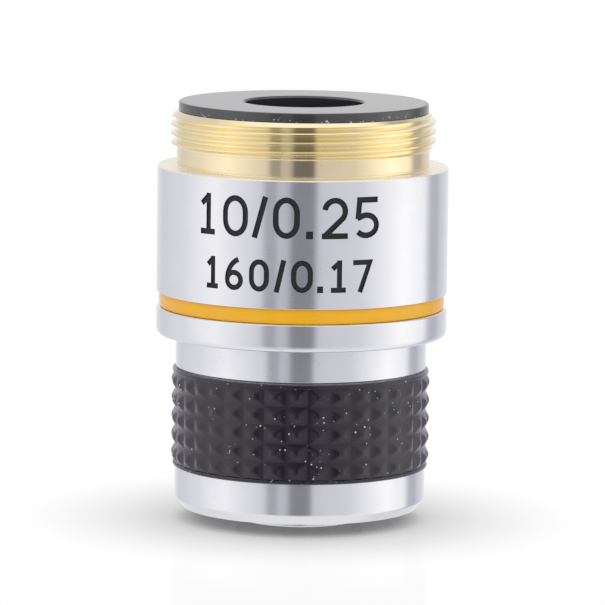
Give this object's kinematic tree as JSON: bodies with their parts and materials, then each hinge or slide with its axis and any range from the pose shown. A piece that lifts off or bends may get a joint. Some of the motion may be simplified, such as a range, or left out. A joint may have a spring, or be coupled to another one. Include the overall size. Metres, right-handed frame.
{
  "type": "microscope objective",
  "caption": "Short cylindrical microscope objective with a mounting thread, plated barrel, yellow colour band, knurled grip ring and cemented lenses in cells.",
  "frame": {"origin": "on the optical axis, in the plane of the shoulder that seats on the nosepiece", "axes": "+Z along the optical axis towards the mounting thread and the eyepiece"},
  "size_m": [0.0222, 0.0222, 0.0321],
  "materials": {
    "plated_barrel": "satin plated, thread and neck left in bare brass",
    "plated_sleeve": "satin plated",
    "band_enamel": "gloss",
    "black_anodised": "matt black anodised",
    "grip_rubber": "moulded, matt",
    "blackened_brass": "chemically blackened",
    "bare_brass": "turned",
    "nose_plate": "satin plated",
    "flint_glass": "polished, coated",
    "crown_glass": "polished, coated"
  },
  "bodies": {
    "root": {"body_shell": "plated_barrel", "colour_band": "band_enamel", "rear_baffle": "black_anodised", "nose_sleeve": "plated_sleeve", "grip_ring": "grip_rubber", "lens_tube": "blackened_brass", "parfocal_shim_thick": "bare_brass", "parfocal_shim_thin": "bare_brass", "tube_lock_ring": "blackened_brass", "front_cell": "nose_plate", "front_flint_lens": "flint_glass", "front_crown_lens": "crown_glass", "front_lens_retainer": "blackened_brass", "cell_spacer": "blackened_brass", "aperture_stop": "blackened_brass", "rear_cell": "blackened_brass", "rear_flint_lens": "flint_glass", "rear_crown_lens": "crown_glass", "rear_lens_retainer": "blackened_brass", "cell_stack_retainer": "blackened_brass"}
  },
  "joints": []
}
